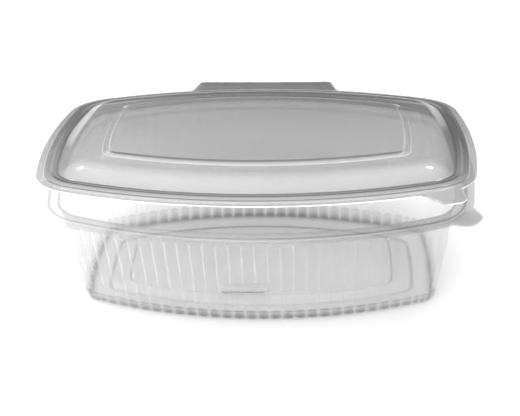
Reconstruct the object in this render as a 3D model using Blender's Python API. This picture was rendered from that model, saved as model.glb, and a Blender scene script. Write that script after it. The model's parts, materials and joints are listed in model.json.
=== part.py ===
"""Clear hinged takeaway container: a fluted tub and a low domed lid, formed as one sheet with a fold at the back.

Metres, +Z up. The origin is on the table, under the middle of the whole container with its lid ajar.
The long side with the opening faces -Y, the fold is at +Y, and the two finger tabs are at the +X, -Y corner.
"""
import math
from dataclasses import dataclass

import bmesh
import bpy
from mathutils import Matrix, Vector

MM = 0.001

# Plan outline of the flange: a bowed long side, a corner and a bowed end, each one arc.
HALF_LENGTH = 95.0 * MM
HALF_DEPTH = 70.0 * MM
SIDE_RADIUS = 222.0 * MM
END_RADIUS = 238.0 * MM
CORNER_RADIUS = 23.3 * MM

# The sheet and how the closed lid lies on the tub.
SHEET = 0.45 * MM
NEST_GAP = 0.4 * MM
TUB_HEIGHT = 56.6 * MM

# The fold at the back.
AXIS_OUT = 11.5 * MM
LEAF_SHORT = 0.45 * MM
LEAF_ROOT = 36.0 * MM
LEAF_TIP = 33.0 * MM
AJAR = math.radians(6.4)

# Flutes round the tub's wall: how many on a half end, a corner and a half side, their pitch and their depth.
FLUTES_END = 7
FLUTES_CORNER = 4
FLUTES_SIDE = 13
FLUTE_PITCH = 5.33 * MM
FLUTE_STEPS = 4
FLUTE_DEPTH = 0.55 * MM

# Finger tabs at the corner: how far along the outline from the end's middle each starts, its width and reach.
TAB_POINTS = 20
TAB_SHOULDER = 0.36
TUB_TAB = (40.0 * MM, 18.0 * MM, 5.8 * MM)
LID_TAB = (54.0 * MM, 19.0 * MM, 10.8 * MM)

AXIS_Y = HALF_DEPTH + AXIS_OUT
AXIS_Z = TUB_HEIGHT + NEST_GAP / 2
LID_TOP = TUB_HEIGHT + NEST_GAP + SHEET
TUB_Y = -(AXIS_Y - LEAF_SHORT - HALF_DEPTH) / 2


@dataclass(frozen=True)
class Level:
    """One closed ring of a sheet, set in from the flange's outline."""

    inset: float
    height: float
    extra_inset_side: float = 0.0
    corner: float = 0.0
    flute: float = 0.0
    fine: bool = False


def arcs(level):
    """Returns the quarter outline's three arcs at a level: centre, radius, and first and last angle."""
    side = SIDE_RADIUS - level.inset
    end = END_RADIUS - level.inset
    corner = level.corner or CORNER_RADIUS - level.inset
    side_centre = Vector((0.0, HALF_DEPTH - level.inset - level.extra_inset_side - side))
    end_centre = Vector((HALF_LENGTH - level.inset - end, 0.0))
    reach_side = side - corner
    reach_end = end - corner
    line = end_centre - side_centre
    apart = line.length
    along = (reach_side ** 2 - reach_end ** 2 + apart ** 2) / (2 * apart)
    across = math.sqrt(reach_side ** 2 - along ** 2)
    line.normalize()
    corner_centre = side_centre + line * along + Vector((line.y, -line.x)) * across
    to_side = corner_centre - side_centre
    to_end = corner_centre - end_centre
    side_angle = math.atan2(to_side.y, to_side.x)
    end_angle = math.atan2(to_end.y, to_end.x)
    return (
        (end_centre, end, 0.0, end_angle),
        (corner_centre, corner, end_angle, side_angle),
        (side_centre, side, side_angle, math.pi / 2),
    )


QUARTER = (FLUTES_END + FLUTES_CORNER + FLUTES_SIDE) * FLUTE_STEPS
STATIONS = 4 * QUARTER


def walk(level, distance):
    """Returns a point of the first quarter and its normal, at a distance along it from the end's middle."""
    for centre, radius, first, last in arcs(level):
        angle = min(first + distance / radius, last)
        normal = Vector((math.cos(angle), math.sin(angle)))
        distance -= radius * (last - first)
        if distance <= 0.0:
            break
    return centre + normal * radius, normal


def quarter_point(level, station):
    """Returns a point of the first quarter at a station from 0 at the end's middle, and its outward normal.

    The flutes of the ends and sides keep their pitch from level to level, and those of the corner share what is left.
    """
    end, corner, side = arcs(level)
    end_length = end[1] * math.asin(min(FLUTES_END * FLUTE_PITCH / end[1], math.sin(end[3])))
    side_length = side[1] * math.asin(min(FLUTES_SIDE * FLUTE_PITCH / side[1], math.cos(side[2])))
    whole = sum(radius * (last - first) for _, radius, first, last in (end, corner, side))
    flute = station / FLUTE_STEPS
    if flute <= FLUTES_END:
        return walk(level, end_length * flute / FLUTES_END)
    left = FLUTES_END + FLUTES_CORNER + FLUTES_SIDE - flute
    if left <= FLUTES_SIDE:
        return walk(level, whole - side_length * left / FLUTES_SIDE)
    share = (flute - FLUTES_END) / FLUTES_CORNER
    return walk(level, end_length + (whole - side_length - end_length) * share)


def ring_point(level, station):
    """Returns the point at any station round the ring, and its normal, mirrored from the first quarter."""
    turn, step = divmod(station % STATIONS, QUARTER)
    point, normal = quarter_point(level, QUARTER - step if turn % 2 else step)
    flip = Vector((1.0 if turn in (0, 3) else -1.0, 1.0 if turn < 2 else -1.0))
    return point * flip, normal * flip


def coarse_stations():
    """Returns the stations of a plain ring: one for each flute, and two for each flute in the corners."""
    quarter = []
    for first, count, step in (
        (0, FLUTES_END, FLUTE_STEPS),
        (FLUTES_END * FLUTE_STEPS, 2 * FLUTES_CORNER, FLUTE_STEPS // 2),
        ((FLUTES_END + FLUTES_CORNER) * FLUTE_STEPS, FLUTES_SIDE, FLUTE_STEPS),
    ):
        quarter += [first + step * k for k in range(count)]
    quarter.append(QUARTER)
    around = set()
    for turn in range(4):
        for step in quarter:
            place = QUARTER - step if turn % 2 else step
            around.add((turn * QUARTER + place) % STATIONS)
    return sorted(around)


COARSE = coarse_stations()


def add_ring(bm, level):
    """Adds a level's vertices, as a map from station to vertex, with its flutes cut in from the outline."""
    ring = {}
    for station in range(STATIONS) if level.fine else COARSE:
        point, normal = ring_point(level, station)
        bulge = abs(math.sin(math.pi * station / FLUTE_STEPS))
        point = point - normal * level.flute * (1.0 - bulge)
        ring[station] = bm.verts.new((point.x, point.y, level.height))
    return ring


def stitch(bm, first, second):
    """Skins the strip between two rings with triangles, fanned out where one ring is finer."""
    coarse, fine = (first, second) if len(first) <= len(second) else (second, first)
    marks = sorted(coarse)
    for start, stop in zip(marks, marks[1:] + [STATIONS]):
        chain = [fine[s % STATIONS] for s in range(start, stop + 1) if s % STATIONS in fine]
        near, far = coarse[start], coarse[stop % STATIONS]
        middle = len(chain) // 2
        for k in range(len(chain) - 1):
            bm.faces.new((near if k < middle else far, chain[k], chain[k + 1]))
        bm.faces.new((near, chain[middle], far))


def tab_outline(edge, start, width, reach):
    """Returns a finger tab's edge in the +X, -Y quarter, standing out from the outline with soft shoulders."""
    points = []
    for k in range(TAB_POINTS + 1):
        across = k / TAB_POINTS
        point, normal = walk(edge, start + width * (1.0 - across))
        rise = min(1.0, across / TAB_SHOULDER, (1.0 - across) / TAB_SHOULDER)
        point = point + normal * reach * rise * rise * (3.0 - 2.0 * rise)
        points.append(Vector((point.x, -point.y)))
    return points


def flange_outline(height, tab_start, tab_width, tab_reach):
    """Returns the flange's outer edge with the finger tab on its corner and the fold's leaf at the back."""
    edge = Level(0.0, height)
    tab = tab_outline(edge, tab_start, tab_width, tab_reach)
    root = HALF_DEPTH - LEAF_ROOT ** 2 / (2 * SIDE_RADIUS)
    tip = AXIS_Y - LEAF_SHORT
    leaf = [Vector(p) for p in ((LEAF_ROOT, root), (LEAF_TIP, tip), (-LEAF_TIP, tip), (-LEAF_ROOT, root))]
    points = []
    last = None
    for station in COARSE:
        point, _ = ring_point(edge, station)
        run = [point]
        if point.y > 0 and abs(point.x) < LEAF_ROOT + 1.0 * MM:
            run = leaf
        elif point.y < 0 and tab[0].x < point.x and point.y < tab[-1].y:
            run = tab
        if run is not last:
            points += run
            last = run
    return [Vector((p.x, p.y, height)) for p in points]


def loop_edges(bm, verts):
    """Joins vertices into a closed loop and returns its edges."""
    edges = []
    for k, vert in enumerate(verts):
        pair = (vert, verts[(k + 1) % len(verts)])
        edges.append(bm.edges.get(pair) or bm.edges.new(pair))
    return edges


def sheet_mesh(name, outline, levels, cap_faces_up):
    """Builds one open skin: the flat lip from its outline to the first level, the rings, and the middle's cap."""
    bm = bmesh.new()
    rings = [add_ring(bm, level) for level in levels]
    for outer, inner in zip(rings, rings[1:]):
        stitch(bm, outer, inner)
    cap = bm.faces.new([rings[-1][s] for s in sorted(rings[-1])])
    lip = loop_edges(bm, [bm.verts.new(p) for p in outline])
    lip += loop_edges(bm, [rings[0][s] for s in sorted(rings[0])])
    bmesh.ops.triangle_fill(bm, edges=lip, use_beauty=True, use_dissolve=False, normal=(0.0, 0.0, 1.0))
    bmesh.ops.recalc_face_normals(bm, faces=bm.faces[:])
    cap.normal_update()
    if (cap.normal.z > 0) != cap_faces_up:
        bmesh.ops.reverse_faces(bm, faces=bm.faces[:])
    mesh = bpy.data.meshes.new(name)
    bm.to_mesh(mesh)
    bm.free()
    mesh.shade_smooth()
    mesh.set_sharp_from_angle(angle=math.radians(28.0))
    return mesh


def clear_plastic(name, colour, roughness):
    """Returns a see-through plastic finish."""
    material = bpy.data.materials.new(name)
    material.use_nodes = True
    shader = material.node_tree.nodes["Principled BSDF"]
    shader.inputs["Base Color"].default_value = colour
    shader.inputs["Metallic"].default_value = 0.0
    shader.inputs["Roughness"].default_value = roughness
    shader.inputs["Alpha"].default_value = colour[3]
    return material


def add_sheet(name, mesh, material):
    """Adds an object for a skin and gives it the sheet's thickness behind its faces."""
    item = bpy.data.objects.new(name, mesh)
    item.data.materials.append(material)
    bpy.context.scene.collection.objects.link(item)
    wall = item.modifiers.new("sheet", "SOLIDIFY")
    wall.thickness = SHEET
    wall.offset = -1.0
    wall.use_even_offset = True
    wall.use_rim = True
    return item


def make_tub():
    """Makes the tub: lip, raised seat, fluted wall, lobed foot and a raised middle in the floor."""
    under = TUB_HEIGHT - SHEET
    levels = (
        Level(3.5 * MM, under),
        Level(4.1 * MM, under + 0.8 * MM),
        Level(8.2 * MM, under + 0.8 * MM),
        Level(8.8 * MM, under - 0.8 * MM),
        Level(8.9 * MM, under - 3.4 * MM, 0.5 * MM, 14.0 * MM, FLUTE_DEPTH, True),
        Level(13.9 * MM, 4.2 * MM, 10.8 * MM, 7.0 * MM, FLUTE_DEPTH, True),
        Level(15.4 * MM, 1.2 * MM, 10.8 * MM, 6.6 * MM, FLUTE_DEPTH, True),
        Level(18.2 * MM, 0.0, 9.9 * MM, 6.0 * MM),
        Level(24.7 * MM, 0.0, 12.5 * MM, 6.0 * MM),
        Level(34.0 * MM, 3.0 * MM, 7.0 * MM, 6.0 * MM),
    )
    outline = flange_outline(under, *TUB_TAB)
    mesh = sheet_mesh("tub", outline, levels, cap_faces_up=False)
    tub = add_sheet("tub", mesh, clear_plastic("tub_clear", (0.93, 0.94, 0.95, 0.25), 0.06))
    tub.location = (0.0, TUB_Y, 0.0)


def make_lid():
    """Makes the lid: lip, stepped rim, sloping dome and the raised panel on its top, turned open on the fold."""
    levels = (
        Level(2.7 * MM, LID_TOP),
        Level(3.1 * MM, LID_TOP + 1.05 * MM),
        Level(6.4 * MM, LID_TOP + 1.6 * MM),
        Level(8.8 * MM, LID_TOP + 0.9 * MM),
        Level(14.6 * MM, LID_TOP + 4.1 * MM, 0.0, 9.6 * MM),
        Level(17.2 * MM, LID_TOP + 5.1 * MM, 0.0, 8.6 * MM),
        Level(20.5 * MM, LID_TOP + 5.5 * MM, 0.0, 8.0 * MM),
        Level(27.8 * MM, LID_TOP + 5.6 * MM, 0.0, 6.5 * MM),
        Level(30.8 * MM, LID_TOP + 6.6 * MM, 0.0, 5.0 * MM),
    )
    outline = flange_outline(LID_TOP, *LID_TAB)
    mesh = sheet_mesh("lid", outline, levels, cap_faces_up=True)
    mesh.transform(Matrix.Translation((0.0, -AXIS_Y, -AXIS_Z)))
    lid = add_sheet("lid", mesh, clear_plastic("lid_clear", (0.9, 0.91, 0.92, 0.3), 0.06))
    fold = bpy.data.objects.new("fold_axis", None)
    bpy.context.scene.collection.objects.link(fold)
    fold.location = (0.0, TUB_Y + AXIS_Y, AXIS_Z)
    fold.rotation_euler = (-AJAR, 0.0, 0.0)
    lid.parent = fold


for old in list(bpy.data.objects):
    bpy.data.objects.remove(old, do_unlink=True)
make_tub()
make_lid()
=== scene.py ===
"""Clear hinged takeaway container: its formed sheets, their finish, and the white table it stands on.

Metres, +Z up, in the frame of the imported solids. The opening side faces -Y and the fold is at +Y.
"""
import json
import logging
import math
from dataclasses import dataclass, field, fields
from enum import Enum

import bmesh
import bpy
from mathutils import Matrix, Vector

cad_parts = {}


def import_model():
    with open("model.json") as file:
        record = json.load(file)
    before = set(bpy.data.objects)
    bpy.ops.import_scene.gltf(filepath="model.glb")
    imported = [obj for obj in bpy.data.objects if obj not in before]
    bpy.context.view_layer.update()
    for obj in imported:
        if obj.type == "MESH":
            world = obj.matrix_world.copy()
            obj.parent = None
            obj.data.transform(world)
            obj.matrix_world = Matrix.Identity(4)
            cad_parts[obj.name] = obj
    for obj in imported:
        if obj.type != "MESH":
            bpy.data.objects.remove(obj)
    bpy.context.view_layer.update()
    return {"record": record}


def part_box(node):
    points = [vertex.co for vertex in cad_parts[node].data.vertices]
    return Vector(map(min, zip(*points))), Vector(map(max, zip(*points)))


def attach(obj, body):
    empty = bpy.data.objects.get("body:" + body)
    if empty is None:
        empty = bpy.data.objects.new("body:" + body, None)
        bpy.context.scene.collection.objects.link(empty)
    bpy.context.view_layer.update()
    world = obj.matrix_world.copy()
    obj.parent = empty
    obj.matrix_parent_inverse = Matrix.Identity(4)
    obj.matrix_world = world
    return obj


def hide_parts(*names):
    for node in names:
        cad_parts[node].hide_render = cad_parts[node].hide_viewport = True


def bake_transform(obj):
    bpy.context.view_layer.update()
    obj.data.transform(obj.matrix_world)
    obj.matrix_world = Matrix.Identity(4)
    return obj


MM = 0.001
SHEET = 0.45 * MM
CREASE_ANGLE = math.radians(40.0)
LOG = logging.getLogger("container")


class Value:
    """A number in a shader, whose Python operators add Math nodes."""

    def __init__(self, graph: "Graph", socket: bpy.types.NodeSocket) -> None:
        """Wraps a socket.

        Args:
            graph: The graph that holds the socket's node.
            socket: The output socket that carries the number.
        """
        self.graph = graph
        self.socket = socket

    def _math(self, operation: str, first: "Value | float", second: "Value | float") -> "Value":
        """Adds a Math node.

        Args:
            operation: The node's operation.
            first: What goes into its first socket.
            second: What goes into its second socket.

        Returns:
            The node's result.
        """
        return self.graph.value("ShaderNodeMath", {"operation": operation}, {0: first, 1: second})

    def __add__(self, other: "Value | float") -> "Value":
        """Returns the sum."""
        return self._math("ADD", self, other)

    def __radd__(self, other: float) -> "Value":
        """Returns the sum with a plain number first."""
        return self._math("ADD", other, self)

    def __sub__(self, other: "Value | float") -> "Value":
        """Returns the difference."""
        return self._math("SUBTRACT", self, other)

    def __rsub__(self, other: float) -> "Value":
        """Returns a plain number less this one."""
        return self._math("SUBTRACT", other, self)

    def __mul__(self, other: "Value | float") -> "Value":
        """Returns the product."""
        return self._math("MULTIPLY", self, other)

    def __rmul__(self, other: float) -> "Value":
        """Returns the product with a plain number first."""
        return self._math("MULTIPLY", other, self)

    def __pow__(self, power: float) -> "Value":
        """Returns this number raised to a power."""
        return self._math("POWER", self, power)

    def clamped(self) -> "Value":
        """Returns the number held between 0 and 1."""
        return self.graph.value("ShaderNodeClamp", {}, {0: self})


class Graph:
    """The node graph of a material or of the world."""

    def __init__(self, tree: bpy.types.NodeTree) -> None:
        """Empties a node tree and takes it over.

        Args:
            tree: The tree to fill.
        """
        self.tree = tree
        tree.nodes.clear()

    def node(self, kind: str, settings: dict | None = None, inputs: dict | None = None) -> bpy.types.Node:
        """Adds a node.

        Args:
            kind: The node's type.
            settings: The node's own settings by name, set before its sockets; "stops" fills a colour ramp.
            inputs: A number, colour, Value or socket for each of its input sockets, by name or index.

        Returns:
            The new node.
        """
        made = self.tree.nodes.new(kind)
        for name, setting in (settings or {}).items():
            if name == "stops":
                self._fill_ramp(made.color_ramp, setting)
            else:
                setattr(made, name, setting)
        for name, given in (inputs or {}).items():
            given = given.socket if isinstance(given, Value) else given
            if isinstance(given, bpy.types.NodeSocket):
                self.tree.links.new(given, made.inputs[name])
            else:
                made.inputs[name].default_value = given
        return made

    def _fill_ramp(self, ramp: bpy.types.ColorRamp, stops: list) -> None:
        """Sets a colour ramp's stops.

        Args:
            ramp: The ramp.
            stops: A position and a colour for each stop, in order.
        """
        while len(ramp.elements) < len(stops):
            ramp.elements.new(1.0)
        for element, (position, colour) in zip(ramp.elements, stops):
            element.position = position
            element.color = colour

    def value(self, kind: str, settings: dict | None = None, inputs: dict | None = None,
              output: int | str = 0) -> Value:
        """Adds a node and wraps one of its outputs.

        Args:
            kind: The node's type.
            settings: The node's own settings.
            inputs: What its input sockets get.
            output: The name or index of the output.

        Returns:
            The wrapped output.
        """
        return Value(self, self.node(kind, settings, inputs).outputs[output])


def grey(level: float) -> tuple[float, float, float, float]:
    """Returns an opaque neutral grey."""
    return (level, level, level, 1.0)


def make_piece(name: str, bm: bmesh.types.BMesh, material: bpy.types.Material,
               creased: bool = False) -> bpy.types.Object:
    """Turns a bmesh into a smooth object of the scene, and frees it.

    Args:
        name: The object's name.
        bm: Its shape, in place.
        material: Its finish.
        creased: Whether its sharp edges stay sharp.

    Returns:
        The new object.
    """
    mesh = bpy.data.meshes.new(name)
    bm.to_mesh(mesh)
    bm.free()
    mesh.shade_smooth()
    if creased:
        mesh.set_sharp_from_angle(angle=CREASE_ANGLE)
    mesh.materials.append(material)
    piece = bpy.data.objects.new(name, mesh)
    bpy.context.scene.collection.objects.link(piece)
    return piece


@dataclass(frozen=True)
class ClearFinish:
    """Clear plastic sheet: see-through and glossy, with a milky veil that painted highlight and painted shade
    pale or darken.

    tint is what one sheet lets through, and veil its milky share. veil_tone places the veil between the two
    greys of veil_range, and painted_light_slope says how much paler it is painted for each metre along X and
    Y, a painted light gradient. painted_highlight_share and painted_shade_share are the veil's share at a
    full painted highlight or painted shade mark, and painted_shade_depth how far a painted shade mark darkens
    it. wave is how deep the sheet's faint waviness is, in metres.
    """

    name: str
    tint: float
    veil: float
    veil_tone: float = 0.75
    veil_range: tuple[float, float] = (0.1, 0.95)
    veil_roughness: float = 0.35
    veil_specular: float = 0.2
    gloss: float = 0.04
    edge_gloss: float = 0.9
    edge_power: float = 4.0
    roughness: float = 0.05
    painted_highlight_share: float = 0.8
    painted_shade_share: float = 0.7
    painted_shade_depth: float = 1.2
    painted_light_slope: tuple[float, float] = (0.0, 0.0)
    wave: float = 0.02 * MM
    wave_scale: float = 70.0

    def material(self) -> bpy.types.Material:
        """Builds the material.

        Returns:
            The finished material.
        """
        material = bpy.data.materials.new(self.name)
        material.use_nodes = True
        graph = Graph(material.node_tree)
        # The light and dark vertex marks are painted highlight and painted shade: they pale or darken the
        # veil and thicken it.
        light = graph.value("ShaderNodeAttribute", {"attribute_name": "light"}, {}, "Fac")
        dark = graph.value("ShaderNodeAttribute", {"attribute_name": "dark"}, {}, "Fac")
        place = graph.node("ShaderNodeTexCoord").outputs["Object"]
        axes = graph.node("ShaderNodeSeparateXYZ", {}, {0: place})
        # Painted light gradient: the veil is painted paler or darker along X and Y.
        painted_light_slope = sum(Value(graph, axes.outputs[axis]) * slope for axis, slope in zip("XY", self.painted_light_slope))
        tone = (self.veil_tone + painted_light_slope + light - dark * self.painted_shade_depth).clamped()
        darkest, palest = (grey(level) for level in self.veil_range)
        milk_and_painted_light = graph.value("ShaderNodeMix", {"data_type": "RGBA"}, {0: tone, 6: darkest, 7: palest}, 2)
        noise = graph.value("ShaderNodeTexNoise", {}, {"Vector": place, "Scale": self.wave_scale})
        bump = graph.value("ShaderNodeBump", {}, {"Height": noise, "Distance": self.wave, "Strength": 1.0})
        haze = graph.node("ShaderNodeBsdfPrincipled", {}, {
            "Base Color": milk_and_painted_light, "Roughness": self.veil_roughness, "Specular IOR Level": self.veil_specular,
            "Normal": bump})
        through = graph.node("ShaderNodeBsdfTransparent", {}, {"Color": grey(self.tint)})
        share = (self.veil + light * self.painted_highlight_share + dark * self.painted_shade_share).clamped()
        body = graph.node("ShaderNodeMixShader", {}, {
            0: share, 1: through.outputs[0], 2: haze.outputs[0]})
        mirror = graph.node("ShaderNodeBsdfAnisotropic", {}, {
            "Color": grey(1.0), "Roughness": self.roughness, "Normal": bump})
        facing = graph.value("ShaderNodeLayerWeight", {}, {"Blend": 0.5}, "Facing")
        shine = (self.gloss + facing ** self.edge_power * self.edge_gloss).clamped()
        surface = graph.node("ShaderNodeMixShader", {}, {0: shine, 1: body.outputs[0], 2: mirror.outputs[0]})
        graph.node("ShaderNodeOutputMaterial", {}, {"Surface": surface.outputs[0]})
        return material


@dataclass(frozen=True)
class Contour:
    """One level line of a formed sheet, set in from the flange's outline.

    Lengths are in metres. corner is the line's corner radius, side how much further its long sides are set
    in, and bend how far from the line the sheet starts to round. reach says how far the line follows the
    finger tab and the fold's leaf, from 0 to 1. flute is the depth of the flutes and arch how far their
    middles rise over their cusps. The other values are painted highlight and painted shade. light and dark
    paint a line at the bend, and front, ends and back one on those sides alone, highlight above 0 and shade
    below.
    painted_light_all_round and shade paint the sheet paler or darker all round it, painted_shade_plus_x
    paints shade on the sheet towards +X, lobe paints shade in the flutes' middles and tab on the finger tab,
    and seam paints highlights on the flutes' cusps.
    """

    inset: float
    height: float
    corner: float
    side: float = 0.0
    reach: float = 0.0
    flute: float = 0.0
    arch: float = 0.0
    painted_light_all_round: float = 0.0
    shade: float = 0.0
    lobe: float = 0.0
    tab: float = 0.0
    painted_shade_plus_x: float = 0.0
    seam: float = 0.0
    bend: float = 0.0
    light: float = 0.0
    dark: float = 0.0
    front: float = 0.0
    ends: float = 0.0
    back: float = 0.0

    def toward(self, other: "Contour", share: float) -> "Contour":
        """Returns the contour at a share of the way to another one."""
        return Contour(*(
            getattr(self, part.name) * (1.0 - share) + getattr(other, part.name) * share
            for part in fields(self)))

    def gap(self, other: "Contour") -> float:
        """Returns the distance along the sheet's section to another contour."""
        return math.hypot(self.inset - other.inset, self.height - other.height)


class Half(Enum):
    """Which way a sheet's cap faces once it is grown."""

    TUB = -1
    LID = 1


@dataclass(frozen=True)
class Outline:
    """The flange's plan outline: three arcs a quarter, a finger tab and the leaf of the fold.

    flutes counts a quarter's flutes on its end, corner and side, and phases places a flute's points along it.
    """

    half_length: float = 95.0 * MM
    half_depth: float = 70.0 * MM
    side_radius: float = 222.0 * MM
    end_radius: float = 238.0 * MM
    tab_start: float = 40.0 * MM
    tab_width: float = 18.0 * MM
    tab_reach: float = 5.8 * MM
    tab_shoulder: float = 0.36
    leaf_root: float = 36.0 * MM
    leaf_tip: float = 33.0 * MM
    leaf_edge: float = 80.25 * MM
    flutes: tuple[int, int, int] = (7, 4, 13)
    pitch: float = 5.33 * MM
    phases: tuple[float, ...] = (0.0, 0.06, 0.2, 0.4, 0.6, 0.8, 0.94)

    @property
    def stations(self) -> int:
        """Returns how many points go round a ring."""
        return 4 * sum(self.flutes) * len(self.phases)

    def arcs(self, contour: Contour) -> tuple:
        """Works out a quarter of a contour.

        Args:
            contour: The level line.

        Returns:
            The end's, corner's and side's arc: centre, radius, and first and last angle.
        """
        side = self.side_radius - contour.inset
        end = self.end_radius - contour.inset
        side_centre = Vector((0.0, self.half_depth - contour.inset - contour.side - side))
        end_centre = Vector((self.half_length - contour.inset - end, 0.0))
        line = end_centre - side_centre
        apart = line.length
        to_side = side - contour.corner
        along = (to_side ** 2 - (end - contour.corner) ** 2 + apart ** 2) / (2 * apart)
        across = math.sqrt(to_side ** 2 - along ** 2)
        line.normalize()
        corner_centre = side_centre + line * along + Vector((line.y, -line.x)) * across
        side_line = corner_centre - side_centre
        end_line = corner_centre - end_centre
        side_angle = math.atan2(side_line.y, side_line.x)
        end_angle = math.atan2(end_line.y, end_line.x)
        return (
            (end_centre, end, 0.0, end_angle),
            (corner_centre, contour.corner, end_angle, side_angle),
            (side_centre, side, side_angle, math.pi / 2),
        )

    def spans(self, arcs: tuple) -> tuple[float, float, float]:
        """Shares a quarter among its flutes: those of the end and side keep their pitch at every level.

        Args:
            arcs: The quarter's arcs.

        Returns:
            The lengths along the outline that the end's, the corner's and the side's flutes take.
        """
        whole = sum(radius * (last - first) for _, radius, first, last in arcs)
        end, _, side = arcs
        end_span = end[1] * math.asin(min(self.flutes[0] * self.pitch / end[1], math.sin(end[3])))
        side_span = side[1] * math.asin(min(self.flutes[2] * self.pitch / side[1], math.cos(side[2])))
        return end_span, whole - end_span - side_span, side_span

    def quarter(self, arcs: tuple, spans: tuple, place: float) -> tuple[Vector, Vector, float]:
        """Finds a point of the first quarter.

        Args:
            arcs: The quarter's arcs.
            spans: The lengths that the flutes of its end, corner and side take.
            place: The place, in flutes from the end's middle.

        Returns:
            The point, its outward normal, and its distance along the outline.
        """
        walked = 0.0
        for span, count in zip(spans, self.flutes):
            walked += span * min(place, count) / count
            place = max(place - count, 0.0)
        left = walked
        for centre, radius, first, last in arcs:
            angle = min(first + left / radius, last)
            left -= radius * (last - first)
            if left <= 0.0:
                break
        normal = Vector((math.cos(angle), math.sin(angle)))
        return centre + normal * radius, normal, walked

    def around(self, contour: Contour) -> list[tuple[Vector, Vector, float, float]]:
        """Finds every point of a contour.

        Args:
            contour: The level line.

        Returns:
            For each station the point in plan, its outward normal, and how far it is from its flute's cusps
            and out on the finger tab, each 0 to 1.
        """
        arcs = self.arcs(contour)
        spans = self.spans(arcs)
        turn = sum(self.flutes)
        points = []
        for number in range(self.stations):
            flute, step = divmod(number, len(self.phases))
            place = flute + self.phases[step]
            bulge = 4.0 * self.phases[step] * (1.0 - self.phases[step])
            quarter = int(place // turn)
            rest = place - quarter * turn
            point, normal, walked = self.quarter(arcs, spans, turn - rest if quarter % 2 else rest)
            flip = Vector((1.0 if quarter in (0, 3) else -1.0, 1.0 if quarter < 2 else -1.0))
            normal = normal * flip
            point = point * flip - normal * contour.flute * (1.0 - bulge)
            tab = self.tab(walked) if quarter == 3 else 0.0
            leaf = self.leaf(point)
            point += normal * self.tab_reach * tab * contour.reach
            point.y += (self.leaf_edge - point.y) * leaf * contour.reach
            points.append((point, normal, bulge, tab))
        return points

    def tab(self, walked: float) -> float:
        """Returns the finger tab's share at a distance along the outline from the end's middle, 0 to 1."""
        across = (walked - self.tab_start) / self.tab_width
        rise = max(0.0, min(1.0, across / self.tab_shoulder, (1.0 - across) / self.tab_shoulder))
        return rise * rise * (3.0 - 2.0 * rise)

    def leaf(self, point: Vector) -> float:
        """Returns the leaf's share at a point of the outline, 0 to 1."""
        if point.y < 0.0 or abs(point.x) > self.leaf_root:
            return 0.0
        return min(1.0, (self.leaf_root - abs(point.x)) / (self.leaf_root - self.leaf_tip))


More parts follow.
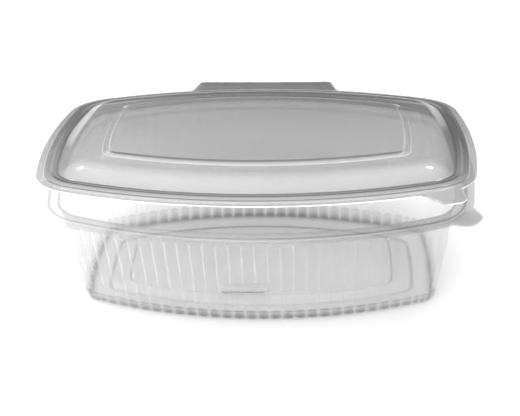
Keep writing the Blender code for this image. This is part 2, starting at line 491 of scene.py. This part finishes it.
class Skin:
    """One open skin, grown inwards ring by ring from the flange's edge.

    A bend takes up no more than BEND_MOST of the sheet on either side of it, and the marks in LINES fade out
    from its middle. The painted highlights on the flutes' cusps are SEAM_MIDDLE strong halfway along
    the container and weaken towards +X, the painted shade in the lobes weakens towards both ends, and both
    are weaker at the back. The painted shade towards +X deepens until PLUS_X_SHADE_FULL.
    """

    BEND_SHARES = (0.0, 0.25, 0.5, 0.75, 1.0)
    BEND_MOST = 0.48
    LEAST_GAP = 0.001 * MM
    LINES = ("light", "dark", "front", "ends", "back")
    # How the painted highlights on the cusps and the painted shade in the lobes and towards +X fade.
    CUSP_HIGHLIGHT_SHARPNESS = 4.0
    SEAM_MIDDLE = 0.5
    CUSP_HIGHLIGHT_LEAST = 0.15
    CUSP_HIGHLIGHT_FADE = 150.0 * MM
    BACK_CUSP_HIGHLIGHT = 0.35
    PLUS_X_SHADE_FULL = 75.0 * MM
    LOBE_SHADE_FADE = 110.0 * MM
    BACK_LOBE_SHADE = 0.6

    def __init__(self, outline: Outline) -> None:
        """Starts with an empty mesh.

        Args:
            outline: The flange's outline, which every ring follows.
        """
        self.outline = outline
        self.bm = bmesh.new()
        self.station = self.bm.verts.layers.int.new("station")
        self.light = self.bm.verts.layers.float.new("light")
        self.dark = self.bm.verts.layers.float.new("dark")
        self.ring: list[bmesh.types.BMEdge] = []

    def grow(self, keys: tuple[Contour, ...], half: Half) -> None:
        """Grows the rings through a section's key contours and caps the last one.

        Args:
            keys: The section's corners, from the flange's edge inwards.
            half: Which half of the container this is, for the way its faces point.
        """
        for contour in self.rounded(keys):
            self.add_ring(contour)
        cap = bmesh.ops.contextual_create(self.bm, geom=self.ring)["faces"][0]
        bmesh.ops.recalc_face_normals(self.bm, faces=self.bm.faces[:])
        cap.normal_update()
        if cap.normal.z * half.value < 0.0:
            bmesh.ops.reverse_faces(self.bm, faces=self.bm.faces[:])

    def rounded(self, keys: tuple[Contour, ...]) -> list[Contour]:
        """Rounds the section's corners.

        Args:
            keys: The section's corners, each with the length of its bend.

        Returns:
            Every contour to make a ring of.
        """
        rings = [keys[0]]
        for before, key, after in zip(keys, keys[1:], keys[2:]):
            first = min(self.BEND_MOST, key.bend / max(before.gap(key), self.LEAST_GAP))
            last = min(self.BEND_MOST, key.bend / max(key.gap(after), self.LEAST_GAP))
            start = key.toward(before, first)
            stop = key.toward(after, last)
            for share in self.BEND_SHARES:
                line = 1.0 - abs(2.0 * share - 1.0)
                ring = start.toward(key, share).toward(key.toward(stop, share), share)
                rings.append(Contour(*(
                    getattr(key, part.name) * line if part.name in self.LINES
                    else getattr(ring, part.name) for part in fields(ring))))
        rings.append(keys[-1])
        return rings

    def add_ring(self, contour: Contour) -> None:
        """Adds the next ring, by a circle or by extruding the last ring, and lays it on its contour.

        Args:
            contour: Where the ring goes.
        """
        if self.ring:
            grown = bmesh.ops.extrude_edge_only(self.bm, edges=self.ring)["geom"]
            verts = {item for item in grown if isinstance(item, bmesh.types.BMVert)}
            self.ring = [item for item in grown if isinstance(item, bmesh.types.BMEdge)
                         and item.verts[0] in verts and item.verts[1] in verts]
        else:
            stations = self.outline.stations
            verts = bmesh.ops.create_circle(self.bm, cap_ends=False, radius=1.0, segments=stations)["verts"]
            for number, vert in enumerate(verts):
                vert[self.station] = number
            self.ring = self.bm.edges[:]
        points = self.outline.around(contour)
        for vert in verts:
            point, normal, bulge, tab = points[vert[self.station]]
            vert.co = (point.x, point.y, contour.height + contour.arch * bulge)
            self.mark(vert, contour, normal, bulge, tab)

    def mark(self, vert: bmesh.types.BMVert, contour: Contour, normal: Vector, bulge: float,
             tab: float) -> None:
        """Paints the sheet's highlight and shade at a point into its light and dark marks.

        Args:
            vert: The point, in its place.
            contour: The contour that it is on.
            normal: The outline's outward normal there.
            bulge: How far it is from its flute's cusps, 0 to 1.
            tab: How far it is out on the finger tab, 0 to 1.
        """
        # All of these are painted light: highlight and shade lines, cusp highlights, lobe shade, tab shade
        # and shade towards +X.
        is_back = normal.y > 0.0
        line = contour.ends * normal.x ** 2 + (contour.back if is_back else contour.front) * normal.y ** 2
        sheen = min(1.0, max(self.CUSP_HIGHLIGHT_LEAST, self.SEAM_MIDDLE - vert.co.x / self.CUSP_HIGHLIGHT_FADE))
        seam = contour.seam * sheen * max(0.0, 1.0 - self.CUSP_HIGHLIGHT_SHARPNESS * bulge)
        lobe = contour.lobe * math.sqrt(bulge) * (1.0 - (vert.co.x / self.LOBE_SHADE_FADE) ** 2)
        if is_back:
            seam *= self.BACK_CUSP_HIGHLIGHT
            lobe *= self.BACK_LOBE_SHADE
        tab_and_plus_x_shade = contour.tab * tab + contour.painted_shade_plus_x * max(0.0, vert.co.x) / self.PLUS_X_SHADE_FULL
        vert[self.light] = min(1.0, contour.light + contour.painted_light_all_round + seam + max(0.0, line))
        vert[self.dark] = min(1.0, contour.dark + contour.shade + lobe + tab_and_plus_x_shade + max(0.0, -line))

    def finish(self, name: str, body: str, material: bpy.types.Material, place: Matrix,
               thickness: float) -> bpy.types.Object:
        """Turns the skin into a piece with the sheet's thickness.

        Args:
            name: The piece's name.
            body: The body it moves with.
            material: Its finish.
            place: Where the skin goes in the frame.
            thickness: The sheet's thickness, laid behind the skin's faces.

        Returns:
            The new piece.
        """
        self.bm.transform(place)
        piece = make_piece(name, self.bm, material)
        wall = piece.modifiers.new("sheet", "SOLIDIFY")
        wall.thickness = thickness
        wall.offset = -1.0
        wall.use_even_offset = False
        wall.use_rim = True
        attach(piece, body)
        return piece


@dataclass
class Tub:
    """The fluted tub with its raised seat, lobed foot and raised floor.

    seat and floor are how far those two are raised, and flute and lobe how deep the wall's and foot's are.
    """

    centre: float
    outline: Outline = field(default_factory=Outline)
    sheet: float = SHEET
    height: float = 56.6 * MM
    seat: float = 0.8 * MM
    floor: float = 3.0 * MM
    flute: float = 0.55 * MM
    lobe: float = 0.8 * MM

    def section(self) -> tuple[Contour, ...]:
        """Lists the section's key contours along the sheet's underside, from the flange's edge inwards.

        Returns:
            The contours.
        """
        under = self.height - self.sheet
        seat = under + self.seat
        return (
            # The flange with its tab and leaf, and the seat inside it, greyed partly for the thicker sheet
            # and partly by painted shade growing towards +X.
            Contour(0.0, under, 23.3 * MM, reach=1.0, ends=0.6, front=-0.3, back=0.3),
            Contour(0.3 * MM, under, 23.0 * MM, reach=1.0, bend=0.2 * MM, shade=0.2, painted_shade_plus_x=0.2, tab=0.1),
            Contour(3.5 * MM, under, 19.8 * MM, bend=0.4 * MM, light=0.3, shade=0.25, painted_shade_plus_x=0.2, tab=0.1),
            Contour(4.1 * MM, seat, 19.2 * MM, bend=0.4 * MM, dark=0.3, shade=0.25, painted_shade_plus_x=0.2),
            Contour(8.2 * MM, seat, 15.1 * MM, bend=1.0 * MM, shade=0.15, painted_shade_plus_x=0.2,
                    front=-0.9, ends=-0.3, back=-0.3),
            # The fluted wall, with painted highlights on its flutes' cusps and faint painted shade at the
            # back.
            Contour(8.8 * MM, under - 0.8 * MM, 14.5 * MM, bend=0.7 * MM),
            Contour(8.9 * MM, under - 3.4 * MM, 14.0 * MM, side=0.5 * MM, flute=self.flute, seam=0.35,
                    bend=1.2 * MM, dark=0.15),
            Contour(10.4 * MM, 30.0 * MM, 11.0 * MM, side=6.2 * MM, flute=self.flute, seam=0.35,
                    bend=9.0 * MM, back=-0.16),
            # The lobed foot, with painted shade in its lobes and along its bottom, and the ring that the tub
            # stands on.
            Contour(13.7 * MM, 6.2 * MM, 7.1 * MM, side=10.4 * MM, flute=self.flute, seam=0.2,
                    bend=0.3 * MM, arch=0.9 * MM),
            Contour(13.6 * MM, 5.2 * MM, 7.0 * MM, side=10.4 * MM, flute=self.lobe, seam=0.15,
                    bend=0.5 * MM, front=-0.35, ends=-0.1, back=-0.1, arch=0.9 * MM, lobe=0.35),
            Contour(14.2 * MM, 2.4 * MM, 7.0 * MM, side=10.6 * MM, flute=self.lobe, bend=1.0 * MM,
                    seam=0.2, lobe=0.45, shade=0.1),
            Contour(15.6 * MM, 0.4 * MM, 6.5 * MM, side=10.9 * MM, flute=self.lobe, bend=0.8 * MM,
                    seam=0.1, lobe=0.6, shade=0.35),
            Contour(17.4 * MM, 0.0, 6.0 * MM, side=10.7 * MM, bend=3.0 * MM, front=-0.12),
            # The raised middle of the floor, with painted shade lines along its edges.
            Contour(24.7 * MM, 0.0, 6.0 * MM, side=12.5 * MM, bend=1.5 * MM, front=-0.15, ends=-0.3,
                    back=-0.3),
            Contour(34.0 * MM, self.floor, 6.0 * MM, side=7.0 * MM, bend=0.8 * MM, front=-0.2, ends=-0.5,
                    back=-0.3),
            Contour(36.7 * MM, self.floor, 6.0 * MM, side=7.0 * MM),
        )

    def build(self, finish: ClearFinish) -> bpy.types.Object:
        """Builds the tub's fine sheet in place of its solid.

        Args:
            finish: The sheet's finish.

        Returns:
            The piece.
        """
        skin = Skin(self.outline)
        skin.grow(self.section(), Half.TUB)
        place = Matrix.Translation((0.0, self.centre, 0.0))
        piece = skin.finish("tub_sheet", "tub", finish.material(), place, self.sheet)
        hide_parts("tub")
        return piece


@dataclass(frozen=True)
class Hinge:
    """The fold's axis, and how far the lid stands open at rest, in radians."""

    axis: Vector
    ajar: float

    def opened(self) -> Matrix:
        """Returns the move that takes the shut lid to where it is at rest."""
        turn = Matrix.Rotation(-self.ajar, 4, "X")
        return Matrix.Translation(self.axis) @ turn @ Matrix.Translation(-self.axis)


@dataclass
class Lid:
    """The lid: stepped rim, low dome with a rounded shoulder and a raised panel."""

    centre: float
    hinge: Hinge
    outline: Outline = field(default_factory=lambda: Outline(
        tab_start=54.0 * MM, tab_width=19.0 * MM, tab_reach=10.8 * MM))
    sheet: float = SHEET
    top: float = 57.45 * MM

    def section(self) -> tuple[Contour, ...]:
        """Lists the section's key contours along the sheet's top, from the lip's edge inwards.

        Returns:
            The contours.
        """
        top = self.top
        return (
            # The lip with its tab and leaf, with a painted highlight along its edge.
            Contour(0.0, top, 23.3 * MM, reach=1.0, front=0.9, ends=0.3, back=0.1),
            Contour(0.3 * MM, top, 23.0 * MM, reach=1.0, bend=0.2 * MM, painted_light_all_round=0.05),
            Contour(2.7 * MM, top, 20.6 * MM, bend=0.4 * MM, painted_light_all_round=0.05),
            # The stepped rim, greyed by painted shade, with painted shade lines at the front and painted
            # highlights at the ends.
            Contour(3.1 * MM, top + 1.05 * MM, 20.2 * MM, bend=0.4 * MM, shade=0.16, front=-1.0,
                    ends=0.3, back=0.1),
            Contour(6.4 * MM, top + 1.6 * MM, 16.9 * MM, bend=1.0 * MM, shade=0.2, front=-1.0,
                    ends=0.15),
            Contour(8.8 * MM, top + 0.9 * MM, 14.5 * MM, bend=0.8 * MM, shade=0.15,
                    front=-0.8, ends=-0.15, back=-0.2),
            # The dome's rounded shoulder, with a faint painted highlight at its ends.
            Contour(14.6 * MM, top + 4.1 * MM, 9.6 * MM, bend=1.5 * MM),
            Contour(17.2 * MM, top + 5.1 * MM, 8.6 * MM, bend=1.4 * MM),
            Contour(20.5 * MM, top + 5.5 * MM, 8.0 * MM, bend=1.4 * MM, ends=0.1),
            # The raised panel, with painted highlight and painted shade lines along its edges.
            Contour(28.0 * MM, top + 5.6 * MM, 6.5 * MM, bend=0.7 * MM, front=0.3, ends=0.3, back=-0.7),
            Contour(30.8 * MM, top + 6.6 * MM, 5.0 * MM, bend=1.0 * MM, front=-0.9, ends=0.35, back=0.2),
            Contour(33.0 * MM, top + 6.6 * MM, 4.5 * MM),
        )

    def build(self, finish: ClearFinish) -> bpy.types.Object:
        """Builds the lid's fine sheet in place of its solid, open as in the photograph.

        Args:
            finish: The sheet's finish.

        Returns:
            The piece.
        """
        skin = Skin(self.outline)
        skin.grow(self.section(), Half.LID)
        place = self.hinge.opened() @ Matrix.Translation((0.0, self.centre, 0.0))
        piece = skin.finish("lid_sheet", "lid", finish.material(), place, self.sheet)
        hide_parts("lid")
        return piece


@dataclass
class Fold:
    """The thin fold that joins the two leaves: a strip bent round from the tub's leaf to the lid's.

    low and high are the middles of the two leaves while the lid is shut. overlap is how far the strip reaches
    into them, and out how far it bulges behind them.
    """

    centre: float
    hinge: Hinge
    low: float
    high: float
    leaf_edge: float = Outline.leaf_edge
    half_width: float = Outline.leaf_tip - 0.2 * MM
    overlap: float = 0.3 * MM
    out: float = 0.62 * MM
    thickness: float = 0.2 * MM
    steps: int = 12

    def strip(self) -> list[Vector]:
        """Works out the strip's middle line in the YZ plane, at rest.

        Returns:
            The points, from inside the tub's leaf to inside the lid's.
        """
        edge = self.centre + self.leaf_edge
        start = Vector((0.0, edge, self.low))
        stop = self.hinge.opened() @ Vector((0.0, edge, self.high))
        middle = (start + stop) / 2
        half = (stop - start) / 2
        points = [start - Vector((0.0, self.overlap, 0.0))]
        for step in range(self.steps + 1):
            angle = math.pi * step / self.steps
            points.append(middle - half * math.cos(angle) + Vector((0.0, self.out * math.sin(angle), 0.0)))
        points.append(stop - Vector((0.0, self.overlap, 0.0)))
        return points

    def build(self, finish: ClearFinish) -> bpy.types.Object:
        """Builds the strip across the fold, where it stands at rest.

        Args:
            finish: The sheet's finish.

        Returns:
            The piece.
        """
        bm = bmesh.new()
        points = self.strip()
        for name in ("light", "dark"):
            bm.verts.layers.float.new(name)
        verts = [bm.verts.new((-self.half_width, point.y, point.z)) for point in points]
        edges = [bm.edges.new(pair) for pair in zip(verts, verts[1:])]
        grown = bmesh.ops.extrude_edge_only(bm, edges=edges)["geom"]
        moved = [item for item in grown if isinstance(item, bmesh.types.BMVert)]
        bmesh.ops.translate(bm, verts=moved, vec=(2.0 * self.half_width, 0.0, 0.0))
        bmesh.ops.recalc_face_normals(bm, faces=bm.faces[:])
        bmesh.ops.solidify(bm, geom=bm.faces[:], thickness=self.thickness)
        bmesh.ops.recalc_face_normals(bm, faces=bm.faces[:])
        piece = make_piece("fold_strip", bm, finish.material(), creased=True)
        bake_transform(piece)
        return piece


@dataclass
class Plaque:
    """The low rounded bar raised on the floor near the front, left plain.

    end_painted_highlight is the painted highlight on its round ends, and front_painted_shade the painted
    shade at the foot of its front, which lies further out than front_band of its half depth and lower than
    foot_band of its height.
    """

    centre: float
    middle: Vector = field(default_factory=lambda: Vector((-7.5, -24.5, 3.35)) * MM)
    half_length: float = 11.5 * MM
    half_depth: float = 3.2 * MM
    rise: float = 0.7 * MM
    side_points: int = 48
    bevel_share: float = 0.6
    bevel_steps: int = 3
    end_painted_highlight: float = 0.7
    front_painted_shade: float = 0.8
    front_band: float = 0.8
    foot_band: float = 0.5

    def build(self, finish: ClearFinish) -> bpy.types.Object:
        """Builds the bar.

        Args:
            finish: The sheet's finish.

        Returns:
            The piece.
        """
        bm = bmesh.new()
        light = bm.verts.layers.float.new("light")
        dark = bm.verts.layers.float.new("dark")
        made = bmesh.ops.create_circle(bm, cap_ends=True, radius=self.half_depth, segments=self.side_points)
        straight = self.half_length - self.half_depth
        for vert in made["verts"]:
            vert.co.x += math.copysign(straight, vert.co.x)
        grown = bmesh.ops.extrude_face_region(bm, geom=bm.faces[:])["geom"]
        top = [item for item in grown if isinstance(item, bmesh.types.BMVert)]
        bmesh.ops.translate(bm, verts=top, vec=(0.0, 0.0, self.rise))
        rim = [edge for edge in bm.edges if all(vert in top for vert in edge.verts)]
        bmesh.ops.bevel(bm, geom=rim, offset=self.rise * self.bevel_share, segments=self.bevel_steps,
                        profile=0.5, affect="EDGES", material=-1)
        bmesh.ops.recalc_face_normals(bm, faces=bm.faces[:])
        # Painted highlight on the round ends and painted shade along the foot of the front.
        for vert in bm.verts:
            vert[light] = self.end_painted_highlight * max(0.0, abs(vert.co.x) - straight) / self.half_depth
            is_front = vert.co.y < -self.front_band * self.half_depth
            vert[dark] = self.front_painted_shade if is_front and vert.co.z < self.foot_band * self.rise else 0.0
        bmesh.ops.translate(bm, verts=bm.verts[:], vec=self.middle + Vector((0.0, self.centre, 0.0)))
        piece = make_piece("floor_bar", bm, finish.material(), creased=True)
        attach(piece, "tub")
        return piece


@dataclass(frozen=True)
class Softbox:
    """A rectangular soft light.

    radiance is how bright its face looks, and mirrored says whether glossy surfaces show it.
    """

    name: str
    place: tuple[float, float, float]
    width: float
    depth: float
    radiance: float
    mirrored: bool = True

    def add(self, aim: Vector) -> None:
        """Adds the light to the scene.

        Args:
            aim: The point it faces.
        """
        lamp = bpy.data.lights.new(self.name, "AREA")
        lamp.shape = "RECTANGLE"
        lamp.size = self.width
        lamp.size_y = self.depth
        lamp.energy = self.radiance * math.pi * self.width * self.depth
        item = bpy.data.objects.new(self.name, lamp)
        item.location = self.place
        item.visible_glossy = self.mirrored
        item.rotation_euler = (aim - Vector(self.place)).to_track_quat("-Z", "Y").to_euler()
        bpy.context.scene.collection.objects.link(item)


@dataclass(frozen=True)
class Studio:
    """The white table, the sky round it, the soft lights and the camera.

    sky gives the sky's grey by height, from 0 to 1, and sky_lean how much the height falls towards +X and +Y.
    """

    softboxes: tuple[Softbox, ...] = (
        Softbox("overhead", (-0.15, 0.0, 1.1), 2.0, 1.6, 1.93, mirrored=False),
        Softbox("front", (-0.1, -1.0, 0.6), 1.6, 0.8, 2.15, mirrored=False),
        Softbox("sparkle_left", (-0.47, 0.49, 0.74), 0.11, 0.11, 5.0),
        Softbox("sparkle_right", (0.375, 0.526, 0.762), 0.11, 0.11, 5.0),
    )
    aim: tuple[float, float, float] = (0.0, 0.0, 0.06)
    sky: tuple[tuple[float, float], ...] = ((0.0, 0.1), (0.1, 0.26), (0.35, 0.52), (0.7, 0.65), (1.0, 0.8))
    sky_lean: tuple[float, float] = (0.12, 0.3)
    table_tone: float = 0.9
    floor_half: float = 3.0
    floor_gap: float = 0.05 * MM
    target: Vector = field(default_factory=lambda: Vector((-0.143, -5.525, 31.52)) * MM)
    elevation: float = 0.548
    azimuth: float = 0.056
    distance: float = 532.15 * MM
    focal: float = 1152.6
    frame_width: int = 520
    sensor: float = 36.0
    roll: float = -0.027
    clip: tuple[float, float] = (0.01, 20.0)
    bounces: int = 8
    see_through_bounces: int = 32

    def build(self) -> None:
        """Adds the floor, the world, the lights and the camera, and sets how the picture is read out."""
        self.add_floor()
        self.add_world()
        for softbox in self.softboxes:
            softbox.add(Vector(self.aim))
        self.add_camera()
        scene = bpy.context.scene
        scene.view_settings.view_transform = "Standard"
        scene.cycles.transparent_max_bounces = self.see_through_bounces
        scene.cycles.max_bounces = self.bounces

    def add_floor(self) -> None:
        """Adds the white table top."""
        bm = bmesh.new()
        bmesh.ops.create_grid(bm, x_segments=1, y_segments=1, size=self.floor_half)
        bmesh.ops.translate(bm, verts=bm.verts[:], vec=(0.0, 0.0, -self.floor_gap))
        material = bpy.data.materials.new("white_table")
        material.use_nodes = True
        graph = Graph(material.node_tree)
        paint = graph.node("ShaderNodeBsdfDiffuse", {}, {"Color": grey(self.table_tone)})
        graph.node("ShaderNodeOutputMaterial", {}, {"Surface": paint.outputs[0]})
        floor = make_piece("table", bm, material)

    def add_world(self) -> None:
        """Adds soft light from all round, dimmer near the horizon."""
        world = bpy.data.worlds.new("studio")
        world.use_nodes = True
        graph = Graph(world.node_tree)
        direction = graph.node("ShaderNodeTexCoord")
        parts = graph.node("ShaderNodeSeparateXYZ", {}, {0: direction.outputs["Generated"]})
        height = Value(graph, parts.outputs["Z"])
        for axis, lean in zip("XY", self.sky_lean):
            height = height - Value(graph, parts.outputs[axis]) * lean
        stops = [(place, grey(level)) for place, level in self.sky]
        ramp = graph.node("ShaderNodeValToRGB", {"stops": stops}, {0: height})
        sky = graph.node("ShaderNodeBackground", {}, {"Color": ramp.outputs[0], "Strength": 1.0})
        graph.node("ShaderNodeOutputWorld", {}, {"Surface": sky.outputs[0]})
        bpy.context.scene.world = world

    def add_camera(self) -> None:
        """Adds the camera where the photograph was taken from."""
        flat = math.cos(self.elevation)
        back = Vector((math.sin(self.azimuth) * flat, -math.cos(self.azimuth) * flat,
                       math.sin(self.elevation)))
        right = (-back).cross(Vector((0.0, 0.0, 1.0))).normalized()
        turn = Matrix.Rotation(self.roll, 3, back)
        right = turn @ right
        up = back.cross(right)
        lens = bpy.data.cameras.new("camera")
        lens.sensor_width = self.sensor
        lens.lens = self.focal / self.frame_width * self.sensor
        lens.clip_start, lens.clip_end = self.clip
        camera = bpy.data.objects.new("camera", lens)
        place = Matrix((right, up, back)).transposed().to_4x4()
        place.translation = self.target + back * self.distance
        camera.matrix_world = place
        bpy.context.scene.collection.objects.link(camera)
        bpy.context.scene.camera = camera


def main() -> None:
    """Loads the frame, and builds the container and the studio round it."""
    logging.basicConfig(level=logging.INFO, format="%(name)s: %(message)s")
    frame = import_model()
    joint = frame["record"]["behaviour"]["joints"][0]
    hinge = Hinge(Vector(joint["pos_m"]), math.radians(-joint["range_deg"][0]))
    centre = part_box("tub")[0].y + Outline.half_depth
    tub = Tub(centre)
    lid = Lid(centre, hinge)
    fold = Fold(centre, hinge, tub.height - tub.sheet / 2, lid.top - lid.sheet / 2)
    tub_clear = ClearFinish("tub_clear", tint=0.98, veil=0.02, veil_tone=0.72, gloss=0.03, edge_gloss=0.6,
                            roughness=0.1)
    # The lid's heavy grey veil is partly its milky plastic and partly a painted reflection of a dim studio,
    # and its painted light slope paints it darker towards +X and the back.
    lid_clear = ClearFinish("lid_clear", tint=0.855, veil=0.3, veil_tone=0.23, gloss=0.25, edge_gloss=0.12,
                            roughness=0.1, painted_shade_share=1.5, painted_light_slope=(-0.5, -5.5))
    pieces = (
        tub.build(tub_clear),
        lid.build(lid_clear),
        fold.build(ClearFinish("fold_clear", tint=0.9, veil=0.2)),
        Plaque(centre).build(ClearFinish("bar_clear", tint=0.97, veil=0.03)),
    )
    for piece in pieces:
        LOG.info("%s: %d faces", piece.name, len(piece.data.polygons))
    Studio().build()


if __name__ == "__main__":
    main()
